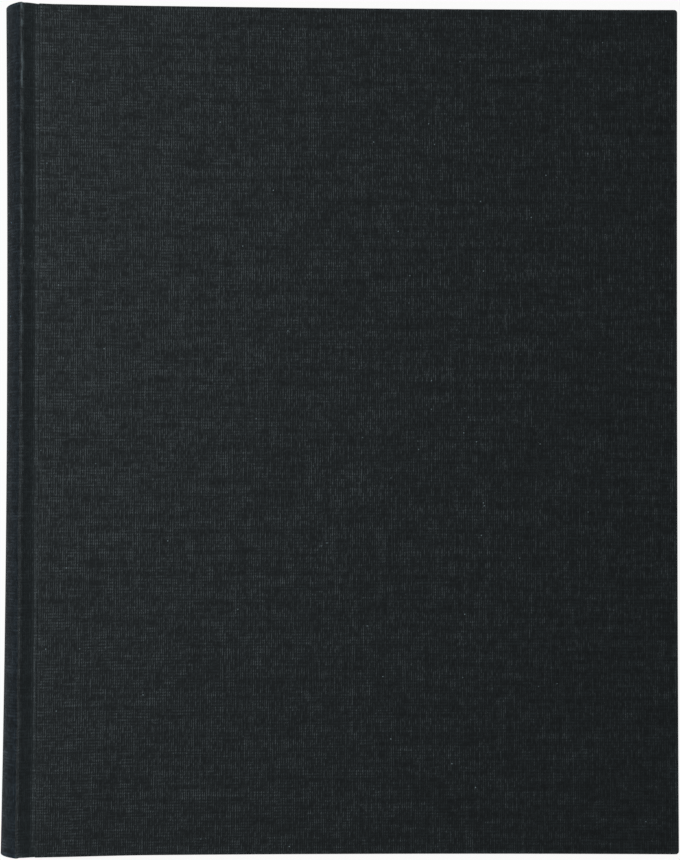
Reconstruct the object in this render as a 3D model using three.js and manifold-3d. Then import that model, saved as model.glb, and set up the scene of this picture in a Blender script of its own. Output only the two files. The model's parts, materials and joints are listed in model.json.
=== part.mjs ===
// A cloth-bound ledger book, closed and lying on its back cover.
// Sizes are in millimetres. X runs from the spine to the fore-edge, Y from the tail to the head
// and Z from the back cover to the front cover. The origin is under the middle of the book.
import * as THREE from "three";
import { mergeVertices } from "three/addons/utils/BufferGeometryUtils.js";
import Module from "manifold-3d";

const wasm = await Module();
wasm.setup();

// Leaves and gatherings
const leafWidth = 216;
const leafHeight = 279.4;
const leafThickness = 0.2;
const flyleafThickness = 0.2;
const pastedownThickness = 0.2;
const airGap = 0.1;
const frontLeafCount = 5;
const backLeafCount = 2;
const gatheringCount = 10;
const gatheringThickness = 1.7;
const gatheringGap = 0.06;
const foldRound = 0.35;

// Case: boards, cloth and the layers under the pastedowns
const boardThickness = 2.5;
const clothThickness = 0.5;
const glueLine = 0.03;
const turnIn = 15;
const edgeRound = 0.4;
const cornerRound = 0.9;
const headSquare = 3.5;
const foreEdgeSquare = 4;
const pastedownInset = 3.3;
const flapReach = 27;
const layerClearance = 0.15;

// Joint: the groove between the spine's ridge and the board
const jointWidth = 6.4;
const grooveDepth = 2.1;
const flankWidth = 3.1;
const ridgeEase = 1.25;
const flankEase = 1.4;
const wallRound = 0.7;
const ridgeSlit = 0.3;
const hingePaperStart = 5;
const gutter = 7;

// Spine: rounding and the layers from the cloth down to the folds
const spineRound = 5.7;
const shoulderDepth = 3.4;
const inlayThickness = 0.8;
const hollowGap = 0.4;
const liningThickness = 0.25;
const mullThickness = 0.3;
const threadThickness = 0.4;
const tapeThickness = 0.35;
const layerGap = 0.1;
const inlayInset = 1.8;
const liningInset = 2.4;
const spineTurnIn = 15;

// Sewing: tapes, thread and bands
const tapeWidth = 14;
const tapeSpacing = 90;
const tapeStations = [-tapeSpacing, 0, tapeSpacing];
const tapeEndMargin = 3;
const stitchOverhang = 1;
const stitchLeg = 0.7;
const threadWidth = 0.5;
const linkInset = 0.08;
const kettleFromEdge = 12;
const kettleSwing = 0.9;
const mullFromEdge = 14;
const liningFromEdge = 1.5;
const bandRadius = 1.1;
const bandTab = 8;
const bandSet = 0.35;

// Fineness of the round shapes, and how far a cutting tool reaches past what it cuts
const arcStep = THREE.MathUtils.degToRad(4.5);
const cornerSteps = 3;
const grooveSteps = 8;
const threadSides = 6;
const bandSides = 8;
const bandSteps = 24;
const mergeDistance = 1e-4;
const overshoot = 5;

// Levels through one cover, from its outer face at 0 down into the book
const boardTop = -(clothThickness + glueLine);
const boardBottom = boardTop - boardThickness;
const innerTop = boardBottom - glueLine;
const innerBottom = innerTop - clothThickness;
const pastedownTop = innerBottom - glueLine;
const pastedownBottom = pastedownTop - pastedownThickness;
const flyleafTop = pastedownBottom - airGap;
const flyleafBottom = flyleafTop - flyleafThickness;
const leafPitch = leafThickness + airGap;
const leafTop = (index) => flyleafBottom - airGap - index * leafPitch;
const stackDepth = (leafCount) => -leafTop(leafCount);

// The whole book
const bookThickness =
  stackDepth(frontLeafCount) + stackDepth(backLeafCount) + gatheringCount * gatheringThickness;
const spineRadius = ((bookThickness / 2) ** 2 + spineRound ** 2) / (2 * spineRound);
const spineCentre = { x: spineRadius - spineRound, z: bookThickness / 2 };
const ridgeAngle = Math.asin(bookThickness / 2 / spineRadius);

// Radii of the spine's layers
const clothInner = spineRadius - clothThickness;
const inlayOuter = clothInner - layerGap;
const inlayInner = inlayOuter - inlayThickness;
const spineTurnOuter = inlayInner - layerGap;
const spineTurnInner = spineTurnOuter - clothThickness;
const liningOuter = spineTurnInner - hollowGap;
const liningInner = liningOuter - liningThickness;
const mullOuter = liningInner - layerGap;
const mullInner = mullOuter - mullThickness;
const threadOuter = mullInner - layerGap;
const threadInner = threadOuter - threadThickness;
const tapeOuter = threadInner - layerGap;
const tapeInner = tapeOuter - tapeThickness;
const foldRadius = tapeInner - layerGap;

const inlayAngle = ridgeAngle - inlayInset / spineRadius;
const liningAngle = ridgeAngle - liningInset / spineRadius;
const shoulderAngle = Math.asin((bookThickness / 2 - shoulderDepth) / foldRadius);
const shoulderX = spineCentre.x - foldRadius * Math.cos(shoulderAngle);

// Outline of the covers, measured from the ridge
const leafEdge = shoulderX + leafWidth;
const coverEdge = leafEdge + foreEdgeSquare;
const coverHalfHeight = leafHeight / 2 + headSquare;
const wallX = jointWidth - clothThickness;
const boardLeft = jointWidth + glueLine;
const boardRight = coverEdge - clothThickness - glueLine;
const boardHalfHeight = coverHalfHeight - clothThickness - glueLine;
const innerHalfHeight = coverHalfHeight - turnIn - layerClearance;
const bookWidth = spineRound + coverEdge;
const ridgeX = spineRound - bookWidth / 2;

// Materials
const cloth = new THREE.MeshStandardMaterial({ color: 0x23282a, roughness: 0.85 });
const card = new THREE.MeshStandardMaterial({ color: 0x8d877c, roughness: 0.95 });
const endpaper = new THREE.MeshStandardMaterial({ color: 0xe9e3d2, roughness: 0.9 });
const ledgerPaper = new THREE.MeshStandardMaterial({ color: 0xeeeadb, roughness: 0.88 });
const muslin = new THREE.MeshStandardMaterial({ color: 0xd8d0bb, roughness: 0.95 });
const kraft = new THREE.MeshStandardMaterial({ color: 0xb08a5b, roughness: 0.9 });
const linen = new THREE.MeshStandardMaterial({ color: 0xe3dcc6, roughness: 0.9 });
const bandSilk = new THREE.MeshStandardMaterial({ color: 0x3a3f42, roughness: 0.7 });

// Geometry helpers
function solidFrom(geometry) {
  const bare = new THREE.BufferGeometry();
  bare.setAttribute("position", geometry.getAttribute("position"));
  bare.setIndex(geometry.getIndex());
  const merged = mergeVertices(bare, mergeDistance);
  return new wasm.Manifold(
    new wasm.Mesh({
      numProp: 3,
      vertProperties: merged.attributes.position.array,
      triVerts: new Uint32Array(merged.index.array),
    }),
  );
}

function geometryFrom(solid) {
  const { vertProperties, triVerts } = solid.getMesh();
  const geometry = new THREE.BufferGeometry();
  geometry.setAttribute("position", new THREE.BufferAttribute(vertProperties, 3));
  geometry.setIndex(new THREE.BufferAttribute(triVerts, 1));
  geometry.computeVertexNormals();
  return geometry;
}

function unite(geometries) {
  const solids = geometries.map(solidFrom);
  return geometryFrom(solids.reduce((whole, next) => whole.add(next)));
}

function cut(geometry, tools) {
  return geometryFrom(tools.map(solidFrom).reduce((left, tool) => left.subtract(tool), solidFrom(geometry)));
}

function intersect(geometries) {
  return geometryFrom(geometries.map(solidFrom).reduce((common, next) => common.intersect(next)));
}

function box([x0, x1], [y0, y1], [z0, z1]) {
  const geometry = new THREE.BoxGeometry(x1 - x0, y1 - y0, z1 - z0);
  return geometry.translate((x0 + x1) / 2, (y0 + y1) / 2, (z0 + z1) / 2);
}

// An outline of [x, z] points, extruded along Y
function alongY(outline, [y0, y1]) {
  const shape = new THREE.Shape(outline.map(([x, z]) => new THREE.Vector2(x, z)));
  const geometry = new THREE.ExtrudeGeometry(shape, { depth: y1 - y0, bevelEnabled: false });
  return geometry.rotateX(Math.PI / 2).translate(0, y1, 0);
}

// An outline of [y, z] points, extruded along X
function alongX(outline, [x0, x1]) {
  const shape = new THREE.Shape(outline.map(([y, z]) => new THREE.Vector2(y, z)));
  const geometry = new THREE.ExtrudeGeometry(shape, { depth: x1 - x0, bevelEnabled: false });
  return geometry.rotateX(Math.PI / 2).rotateZ(Math.PI / 2).translate(x0, 0, 0);
}

// A point on the rounded spine: the angle is 0 at mid-thickness and rises towards the front cover
function spinePoint(radius, angle) {
  return [spineCentre.x - radius * Math.cos(angle), spineCentre.z + radius * Math.sin(angle)];
}

// The angles from -halfAngle to halfAngle, on steps that all the layers share
function spineAngles(halfAngle) {
  const count = Math.ceil(halfAngle / arcStep - 0.5);
  const shared = Array.from({ length: 2 * count - 1 }, (_, i) => (i + 1 - count) * arcStep);
  return [-halfAngle, ...shared, halfAngle];
}

function spineArc(radius, halfAngle) {
  return spineAngles(halfAngle).map((angle) => spinePoint(radius, angle));
}

// A curved strip of the spine between two radii
function spineShell(outer, inner, halfAngle, ends) {
  return alongY([...spineArc(outer, halfAngle), ...spineArc(inner, halfAngle).reverse()], ends);
}

function roundedCorner(from, corner, to) {
  const [start, control, end] = [from, corner, to].map(([a, b]) => new THREE.Vector2(a, b));
  return new THREE.QuadraticBezierCurve(start, control, end).getPoints(cornerSteps).map((p) => [p.x, p.y]);
}

function roundedRectangle([a0, a1], [b0, b1], radius) {
  return [
    ...roundedCorner([a0, b0 + radius], [a0, b0], [a0 + radius, b0]),
    ...roundedCorner([a1 - radius, b0], [a1, b0], [a1, b0 + radius]),
    ...roundedCorner([a1, b1 - radius], [a1, b1], [a1 - radius, b1]),
    ...roundedCorner([a0 + radius, b1], [a0, b1], [a0, b1 - radius]),
  ];
}

function piece(name, geometry, material) {
  const mesh = new THREE.Mesh(geometry, material.clone());
  mesh.name = name;
  return mesh;
}

// Cover pieces are drawn in a frame whose origin is the hinge line on the spine's ridge

// The cloth's outer face from the ridge down into the groove and up to the board's edge
function grooveCurve() {
  const path = new THREE.Path();
  path.moveTo(ridgeSlit / 2, 0);
  path.bezierCurveTo(ridgeEase, 0, flankWidth - flankEase, -grooveDepth, flankWidth, -grooveDepth);
  path.lineTo(wallX - wallRound, -grooveDepth);
  path.quadraticCurveTo(wallX, -grooveDepth, wallX, -grooveDepth + wallRound);
  return path.getPoints(grooveSteps);
}

// The groove curve moved inwards, as far as the foot of the board
function grooveInside(depth, lastX) {
  const outer = grooveCurve();
  const inner = outer.map((point, i) => {
    const ahead = outer[Math.min(i + 1, outer.length - 1)];
    const behind = outer[Math.max(i - 1, 0)];
    const along = ahead.clone().sub(behind).normalize();
    return [point.x + along.y * depth, point.y - along.x * depth];
  });
  inner[0] = [ridgeSlit / 2, -depth];
  return inner.filter(([x], i) => i === 0 || (x > inner[i - 1][0] && x < lastX));
}

// The whole wrapped cover as one solid, from the ridge to the fore-edge
function wrappedSolid(height) {
  const outline = [
    ...grooveCurve().map((point) => [point.x, point.y]),
    ...roundedCorner([wallX, -edgeRound], [wallX, 0], [wallX + edgeRound, 0]),
    ...roundedCorner([coverEdge - edgeRound, 0], [coverEdge, 0], [coverEdge, -edgeRound]),
    ...roundedCorner(
      [coverEdge, innerBottom + edgeRound],
      [coverEdge, innerBottom],
      [coverEdge - edgeRound, innerBottom],
    ),
    [jointWidth, innerBottom],
    ...grooveInside(2 * clothThickness, wallX - wallRound).reverse(),
  ];
  const corners = roundedRectangle([-coverEdge, coverEdge], height, cornerRound);
  const plan = new THREE.Shape(corners.map(([x, y]) => new THREE.Vector2(x, y)));
  const depth = 2 * overshoot - innerBottom;
  const planSolid = new THREE.ExtrudeGeometry(plan, { depth, bevelEnabled: false });
  return intersect([
    alongY(outline, height),
    alongX(roundedRectangle(height, [innerBottom, 0], edgeRound), [0, coverEdge + overshoot]),
    planSolid.translate(0, 0, innerBottom - overshoot),
  ]);
}

// Cloth of one cover: the joint, the outer face and the turn-ins on the board's inner face.
// The cut from below reaches up into the board's hollow, so that no skin is left between them.
function coverCloth() {
  const height = [-coverHalfHeight, coverHalfHeight];
  const between = [-coverHalfHeight + turnIn, coverHalfHeight - turnIn];
  const hollowLength = [-boardHalfHeight - glueLine, boardHalfHeight + glueLine];
  const hollow = box([jointWidth, boardRight + glueLine], hollowLength, [innerTop, -clothThickness]);
  const underside = [
    [ridgeSlit / 2, innerBottom - overshoot],
    ...grooveInside(clothThickness, jointWidth),
    [jointWidth, -grooveDepth + wallRound],
    [jointWidth, -clothThickness],
    [boardRight - turnIn, -clothThickness],
    [boardRight - turnIn, innerTop],
    [coverEdge - turnIn, innerTop],
    [coverEdge - turnIn, innerBottom - overshoot],
  ];
  return cut(wrappedSolid(height), [hollow, alongY(underside, between)]);
}

function board() {
  return box([boardLeft, boardRight], [-boardHalfHeight, boardHalfHeight], [boardBottom, boardTop]);
}

// Card that fills the board's inner face level with the turn-ins
function boardInfill() {
  return box(
    [boardLeft + flapReach + layerClearance, coverEdge - turnIn - layerClearance],
    [-innerHalfHeight, innerHalfHeight],
    [innerBottom, innerTop],
  );
}

const tapeEndSpan = [jointWidth + tapeEndMargin, boardLeft + flapReach - tapeEndMargin];
const tapeEndLength = (station) => [station - tapeWidth / 2, station + tapeWidth / 2];

// Mull glued to the board, with a window where each tape end lies
function mullFlap() {
  const flap = box(
    [hingePaperStart, boardLeft + flapReach],
    [-innerHalfHeight, innerHalfHeight],
    [innerBottom, innerTop],
  );
  const windows = tapeStations.map((station) =>
    box(
      [tapeEndSpan[0] - layerClearance, tapeEndSpan[1] + layerClearance],
      [tapeEndLength(station)[0] - layerClearance, tapeEndLength(station)[1] + layerClearance],
      [innerBottom - overshoot, innerTop + overshoot],
    ),
  );
  return cut(flap, windows);
}

function tapeEnd(station) {
  return box(tapeEndSpan, tapeEndLength(station), [innerTop - tapeThickness, innerTop]);
}

function pastedown() {
  return box(
    [hingePaperStart, coverEdge - pastedownInset],
    [-leafHeight / 2, leafHeight / 2],
    [pastedownBottom, pastedownTop],
  );
}

function looseLeaf(top, thickness) {
  return box([gutter, leafEdge], [-leafHeight / 2, leafHeight / 2], [top - thickness, top]);
}

// Everything on one side of the gatherings, from the cover to the last loose leaf
function coverSide(side, leafCount) {
  const group = new THREE.Group();
  group.add(piece(`${side}_cover_cloth`, coverCloth(), cloth));
  group.add(piece(`${side}_board`, board(), card));
  group.add(piece(`${side}_board_infill`, boardInfill(), card));
  group.add(piece(`${side}_mull_flap`, mullFlap(), muslin));
  tapeStations.forEach((station, i) => {
    group.add(piece(`${side}_tape_end_${i + 1}`, tapeEnd(station), linen));
  });
  group.add(piece(`${side}_pastedown`, pastedown(), endpaper));
  group.add(piece(`${side}_flyleaf`, looseLeaf(flyleafTop, flyleafThickness), endpaper));
  for (let i = 0; i < leafCount; i += 1) {
    group.add(piece(`${side}_leaf_${i + 1}`, looseLeaf(leafTop(i), leafThickness), ledgerPaper));
  }
  return group;
}

// Block pieces are drawn in a frame whose origin is the ridge line at the level of the base

// Levels and fold angles of the faces between gatherings, counted from the back
const blockBase = stackDepth(backLeafCount);
const faceLevel = (face) => blockBase + face * gatheringThickness;
const faceAngle = (face) => shoulderAngle * ((2 * face) / gatheringCount - 1);
const foldAngle = (gathering) => faceAngle(gathering + 0.5);

// One face of a gathering, from the fore-edge to the fold, shifted by half the gap
function gatheringFace(face, shift) {
  const steps = 6;
  const angle = faceAngle(face) + shift / foldRadius;
  const level = faceLevel(face) + shift;
  const [foldX, foldZ] = spinePoint(foldRadius - foldRound, angle);
  const flatX = gutter - gatheringGap;
  const edge = [spinePoint(foldRadius, faceAngle(face))[0] + leafWidth, level];
  const flare = Array.from({ length: steps + 1 }, (_, i) => {
    const share = i / steps;
    return [flatX + (foldX - flatX) * share, level + (foldZ - level) * share ** 2];
  });
  return [edge, ...flare];
}

// A sewn gathering: folded sheets with a rounded fold, fanned towards the shoulder
function gatheringBody(index) {
  const lower = gatheringFace(index, gatheringGap / 2);
  const upper = gatheringFace(index + 1, -gatheringGap / 2);
  const noseSteps = 6;
  const from = faceAngle(index) + gatheringGap / 2 / foldRadius;
  const to = faceAngle(index + 1) - gatheringGap / 2 / foldRadius;
  const nose = Array.from({ length: noseSteps - 1 }, (_, i) => {
    const share = (i + 1) / noseSteps;
    const bulge = foldRound * (1 - Math.sin(Math.PI * share));
    return spinePoint(foldRadius - bulge, from + (to - from) * share);
  });
  return alongY([...lower, ...nose, ...upper.reverse()], [-leafHeight / 2, leafHeight / 2]);
}

function sewingTape(station) {
  return spineShell(tapeOuter, tapeInner, liningAngle, tapeEndLength(station));
}

// One stitch: a staple of thread over a tape, with both legs going down into the fold
function stitch(station, angle) {
  const reach = tapeWidth / 2 + stitchOverhang;
  const foot = foldRadius + layerGap / 2;
  const outline = [
    [station - reach, foot],
    [station - reach + stitchLeg, foot],
    [station - reach + stitchLeg, threadInner],
    [station + reach - stitchLeg, threadInner],
    [station + reach - stitchLeg, foot],
    [station + reach, foot],
    [station + reach, threadOuter],
    [station - reach, threadOuter],
  ];
  const staple = alongX(outline, [-threadWidth / 2, threadWidth / 2]);
  return staple.rotateY(angle - Math.PI / 2).translate(spineCentre.x, 0, spineCentre.z);
}

// Thread over one tape: a stitch for each gathering, caught together in the middle
function tapeStitches(station) {
  const parts = Array.from({ length: gatheringCount }, (_, i) => stitch(station, foldAngle(i)));
  const width = [station - threadWidth, station + threadWidth];
  const lastFold = foldAngle(gatheringCount - 1);
  parts.push(spineShell(threadOuter - linkInset, threadInner + linkInset, lastFold, width));
  return unite(parts);
}

function tubeAlong(points, radius, sides, steps) {
  const curve = new THREE.CatmullRomCurve3(points);
  const section = new THREE.Shape(
    Array.from({ length: sides }, (_, i) => {
      const turn = (2 * Math.PI * i) / sides;
      return new THREE.Vector2(radius * Math.cos(turn), radius * Math.sin(turn));
    }),
  );
  return new THREE.ExtrudeGeometry(section, { steps, bevelEnabled: false, extrudePath: curve });
}

// Kettle stitches: the thread that steps from one gathering to the next near an end
function kettleStitches(end) {
  const y = end * (leafHeight / 2 - kettleFromEdge);
  const radius = (threadOuter + tapeInner) / 2;
  const points = Array.from({ length: gatheringCount }, (_, i) => {
    const [x, z] = spinePoint(radius, foldAngle(i));
    const swing = i % 2 === 0 ? kettleSwing : -kettleSwing;
    return new THREE.Vector3(x, y + swing, z);
  });
  return tubeAlong(points, threadWidth / 2, threadSides, 4 * gatheringCount);
}

// Headband or tailband: a bead over the folds' ends and a tab glued to the spine
function endBand(end) {
  const edge = leafHeight / 2;
  const beadY = end * (edge + layerGap + bandRadius);
  const beadLine = spineArc(foldRadius - bandSet, inlayAngle);
  const beadPoints = beadLine.map(([x, z]) => new THREE.Vector3(x, beadY, z));
  const bead = tubeAlong(beadPoints, bandRadius, bandSides, bandSteps);
  const ends = [end * (edge - bandTab), end * (edge + bandRadius)].sort((a, b) => a - b);
  return unite([bead, spineShell(tapeOuter, tapeInner, liningAngle, ends)]);
}

// Spine cloth: the outer strip between the ridges, turned in over both ends of the inlay
function spineCloth() {
  const strip = intersect([
    spineShell(spineRadius, clothInner, ridgeAngle, [-coverHalfHeight, coverHalfHeight]),
    box([-bookThickness, -ridgeSlit / 2], [-coverHalfHeight, coverHalfHeight], [0, bookThickness]),
  ]);
  const parts = [strip];
  for (const end of [-1, 1]) {
    const inside = (distance) => end * (coverHalfHeight - distance);
    const wrap = [inside(0), inside(clothThickness)].sort((a, b) => a - b);
    const tuck = [inside(0), inside(spineTurnIn)].sort((a, b) => a - b);
    parts.push(spineShell(clothInner + clothThickness / 2, spineTurnInner, liningAngle, wrap));
    parts.push(spineShell(spineTurnOuter, spineTurnInner, liningAngle, tuck));
  }
  return unite(parts);
}

function spineInlay() {
  const end = coverHalfHeight - clothThickness - layerGap;
  return spineShell(inlayOuter, inlayInner, inlayAngle, [-end, end]);
}

function spineLining() {
  const end = leafHeight / 2 - liningFromEdge;
  return spineShell(liningOuter, liningInner, liningAngle, [-end, end]);
}

function spineMull() {
  const end = leafHeight / 2 - mullFromEdge;
  return spineShell(mullOuter, mullInner, inlayAngle, [-end, end]);
}

function bookBlock() {
  const group = new THREE.Group();
  for (let i = 0; i < gatheringCount; i += 1) {
    const number = String(gatheringCount - i).padStart(2, "0");
    group.add(piece(`gathering_${number}`, gatheringBody(i), ledgerPaper));
  }
  tapeStations.forEach((station, i) => {
    group.add(piece(`sewing_tape_${i + 1}`, sewingTape(station), linen));
    group.add(piece(`tape_stitches_${i + 1}`, tapeStitches(station), linen));
  });
  group.add(piece("kettle_stitches_head", kettleStitches(1), linen));
  group.add(piece("kettle_stitches_tail", kettleStitches(-1), linen));
  group.add(piece("headband", endBand(1), bandSilk));
  group.add(piece("tailband", endBand(-1), bandSilk));
  group.add(piece("spine_mull", spineMull(), muslin));
  group.add(piece("spine_lining", spineLining(), kraft));
  group.add(piece("spine_inlay", spineInlay(), card));
  group.add(piece("spine_cloth", spineCloth(), cloth));
  return group;
}

function ledgerBook() {
  const book = new THREE.Group();
  const block = bookBlock();
  block.position.set(ridgeX, 0, 0);
  const front = coverSide("front", frontLeafCount);
  front.position.set(ridgeX, 0, bookThickness);
  const back = coverSide("back", backLeafCount);
  back.position.set(ridgeX, 0, 0);
  back.scale.set(1, 1, -1);
  book.add(block, front, back);
  return book;
}

export default ledgerBook();
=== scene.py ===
import json
import math
import random

import bmesh
import bpy
from bpy.props import FloatProperty, FloatVectorProperty, IntProperty, PointerProperty
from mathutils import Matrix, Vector, noise


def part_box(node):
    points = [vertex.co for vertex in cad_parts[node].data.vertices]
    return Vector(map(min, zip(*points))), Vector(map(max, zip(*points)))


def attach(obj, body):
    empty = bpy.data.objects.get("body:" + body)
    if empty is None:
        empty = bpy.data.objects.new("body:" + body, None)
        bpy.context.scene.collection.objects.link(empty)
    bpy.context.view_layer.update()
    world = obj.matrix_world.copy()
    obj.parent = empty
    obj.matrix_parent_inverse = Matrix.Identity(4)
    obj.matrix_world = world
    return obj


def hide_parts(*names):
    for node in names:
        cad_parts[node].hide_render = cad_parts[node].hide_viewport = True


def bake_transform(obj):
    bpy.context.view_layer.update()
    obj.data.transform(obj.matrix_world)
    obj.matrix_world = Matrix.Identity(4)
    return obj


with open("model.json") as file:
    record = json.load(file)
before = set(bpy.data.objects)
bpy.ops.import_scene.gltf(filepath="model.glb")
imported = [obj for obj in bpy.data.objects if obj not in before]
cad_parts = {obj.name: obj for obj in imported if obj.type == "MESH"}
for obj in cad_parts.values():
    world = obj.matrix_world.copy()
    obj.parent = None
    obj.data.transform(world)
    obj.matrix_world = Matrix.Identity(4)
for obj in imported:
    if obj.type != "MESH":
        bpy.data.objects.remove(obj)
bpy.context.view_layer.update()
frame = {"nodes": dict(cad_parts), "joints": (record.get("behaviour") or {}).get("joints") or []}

bl_info = {
    "name": "Ledger book",
    "version": (1, 0, 0),
    "blender": (4, 5, 0),
    "location": "View3D > Sidebar > Ledger",
    "description": "Dresses a cloth-bound ledger: case cloth, endpapers, ruled leaves, sewing and bands",
    "category": "Add Mesh",
}

# Lengths in metres. Shapes are drawn from the ridge line: x towards the fore-edge, y towards the
# head, and depth down from the outer face of the cover on that side.
MM = 0.001
JOINTS = {joint["name"]: joint for joint in frame["joints"]}
RIDGE_X, _, THICKNESS = JOINTS["front_cover_hinge"]["pos_m"]
HALF_THICKNESS = THICKNESS / 2
SPINE_RISE = RIDGE_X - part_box("spine_cloth")[0].x
SPINE_RADIUS = (HALF_THICKNESS ** 2 + SPINE_RISE ** 2) / (2 * SPINE_RISE)
SPINE_X = SPINE_RADIUS - SPINE_RISE
RIDGE_ANGLE = math.asin(HALF_THICKNESS / SPINE_RADIUS)
COVER_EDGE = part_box("front_cover_cloth")[1].x - RIDGE_X
COVER_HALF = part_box("front_cover_cloth")[1].y
BOARD_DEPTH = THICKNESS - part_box("front_cover_cloth")[0].z
LEAF_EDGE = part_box("front_leaf_1")[1].x - RIDGE_X
LEAF_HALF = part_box("front_leaf_1")[1].y
INLAY_RADIUS = SPINE_X + RIDGE_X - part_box("spine_inlay")[0].x
TAPE_RADIUS = SPINE_X + RIDGE_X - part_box("sewing_tape_2")[0].x
FOLD_RADIUS = SPINE_X + RIDGE_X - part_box("gathering_05")[0].x
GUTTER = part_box("front_leaf_1")[0].x - RIDGE_X
GATHERINGS = sorted(node for node in frame["nodes"] if node.startswith("gathering_"))

# The joint between spine and board: a small roll on the ridge, a flank and a wall over the board's edge
NICK_BACK = 1.35 * MM
NICK_DEPTH = 0.12 * MM
ROLL_X = 0.2 * MM
GROOVE_X = 4.4 * MM
GROOVE_DEPTH = 1.5 * MM
WALL_X = 5.7 * MM
LIP_X = 5.95 * MM
JOINT_WIDTH = 6.4 * MM
ROLL_STEPS = 6
FLANK_STEPS = 14
WALL_STEPS = 5
LIP_STEPS = 4
JOINT_GRAIN = (6 * MM, 9 * MM)

# Two distances from the ridge line beside the joint, at which the case cloth operator works out places on
# the cloth
HINGE_START = 0.2 * MM
HINGE_END = 3.2 * MM

# The case cloth and its mitred corners. A board's waves reach their height this far from edge and joint
INLAY_THICKNESS = 0.8 * MM
TURNED_LAYER = 0.6 * MM
GLUE = 0.02 * MM
COVER_COLUMNS = 56
CLOTH_ROWS = 90
MITRE_SEAM = 0.12 * MM
MITRE_REACH = 20 * MM
EDGE_CALM = 12 * MM
JOINT_CALM = 30 * MM
BOARD_GRAIN = (50 * MM, 60 * MM)

# Leaves and endpapers: room for a sheet and the sheet in it, then their roots on the block and their waves
SHEET_ROOM = 0.2 * MM
SHEET = 0.9 * SHEET_ROOM
ROOT_PITCH = 0.21 * MM
AIR_GAP = 0.1 * MM
PAPER_ROOT = 2 * MM
LEAF_SETTLED = 5.2 * MM
NEAR_END = 22 * MM
PAPER_ROWS = 24
LEAF_GRAIN = (70 * MM, 50 * MM)

# Gatherings and bands
SHOULDER_ANGLE = math.radians(42.5)
FOLD_ROUND = 0.35 * MM
FOLDED_SHEET = 0.085 * MM
FOLD_STEP = 0.11 * MM
GATHERING_GAP = 0.03 * MM
BAND_RADIUS = 1.1 * MM
BAND_ANGLE = math.radians(39.6)
BAND_SIDES = 14
COIL_STEPS = 5
TAB_ANGLE = math.radians(38)
TAB_PROUD = 0.9 * MM
TAB_THICKNESS = 0.3 * MM
TAB_RUN = 10.4 * MM

# The weave: the crossing threads' pitch over the upright ones', and the share of the cloth under lint
CROSS_PITCH = 1.38
SPECK_SHARE = 0.0002

# The ruling, in millimetres on the leaf: columns from the ridge, head rules above the writing lines, and
# how far a rule's core and its soft edge reach from its middle
HEAD_MARGIN = 26
FOOT_MARGIN = 12
COLUMNS = (33, 45, 132, 146, 176, 182, 206)
HEAD_RULES = (0.4, 1.4, 13)
RULE_EDGE = (0.091, 0.169)

# The ageing of the endpapers: colours, and how far it reaches in from the edges in millimetres
TONED_REACH = 14
TONED_PAPER = (0.72, 0.63, 0.46)
PAPER_FLECK = (0.55, 0.5, 0.4)

# The stage, in metres, and the camera's sensor in millimetres
FLOOR_BEND = 0.6
FLOOR_SIDES = 64
FLOOR_GAP = 0.05 * MM
WALL_HEIGHT = 1.4
SOFTBOX_SIZE = (0.9, 0.6)
SOFTBOX_PLACE = Vector((-0.45, 0.1, 0.8))
SOFTBOX_AIM = Vector((-0.02, 0, 0.02))
SENSOR_WIDTH = 36


def lerp(a, b, share):
    return a + (b - a) * share


def smoothstep(value, low, high):
    share = min(max((value - low) / (high - low), 0), 1)
    return share * share * (3 - 2 * share)


def waves(x, y, grain, seed):
    """Slow waves between about -1 and 1, of one grain across and another along."""
    return noise.noise(Vector((x / grain[0], y / grain[1], seed)))


def bezier(points, steps):
    """Points along a curve with two, three or four control points."""
    found = []
    for i in range(steps + 1):
        level = [Vector(p) for p in points]
        while len(level) > 1:
            level = [lerp(a, b, i / steps) for a, b in zip(level, level[1:])]
        found.append(level[0])
    return found


class Side:
    """One cover's side of the book. It turns drawn places into places in the part's frame."""

    def __init__(self, name):
        self.name = name
        self.front = name == "front"
        self.leaves = len([node for node in frame["nodes"] if node.startswith(name + "_leaf_")])

    def place(self, x, y, depth):
        """The place in the part's frame."""
        z = THICKNESS - depth if self.front else depth
        return Vector((RIDGE_X + x, y, z))

    def depth(self, node):
        """Depths of a node's outer and inner face."""
        low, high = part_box(f"{self.name}_{node}")
        return (THICKNESS - high.z, THICKNESS - low.z) if self.front else (low.z, high.z)


SIDES = (Side("front"), Side("back"))


class SheetGrid:
    """A mesh under construction: rows of places with a map of where each lies on the flat sheet."""

    def __init__(self, map_name):
        self.mesh = bmesh.new()
        self.map = self.mesh.loops.layers.uv.new(map_name)
        self.run = {}

    def rows(self, places, run, flip=False):
        """Adds a grid. places and run are lists of rows of the same length."""
        verts = []
        for row, row_run in zip(places, run):
            made = [self.mesh.verts.new(place) for place in row]
            self.run.update(zip(made, row_run))
            verts.append(made)
        for i in range(len(verts) - 1):
            for j in range(len(verts[i]) - 1):
                corner = [verts[i][j], verts[i + 1][j], verts[i + 1][j + 1], verts[i][j + 1]]
                face = self.mesh.faces.new(corner[::-1] if flip else corner)
                for loop in face.loops:
                    loop[self.map].uv = self.run[loop.vert]

    def finished(self, name, materials, weld=0.0):
        """The mesh as a piece of the scene. Points closer than the weld are joined."""
        if weld:
            bmesh.ops.remove_doubles(self.mesh, verts=self.mesh.verts[:], dist=weld)
            bmesh.ops.dissolve_degenerate(self.mesh, edges=self.mesh.edges[:], dist=weld)
        data = bpy.data.meshes.new(name)
        self.mesh.to_mesh(data)
        self.mesh.free()
        for material in materials:
            data.materials.append(material)
        piece = bpy.data.objects.new(name, data)
        bpy.context.scene.collection.objects.link(piece)
        return piece


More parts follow.
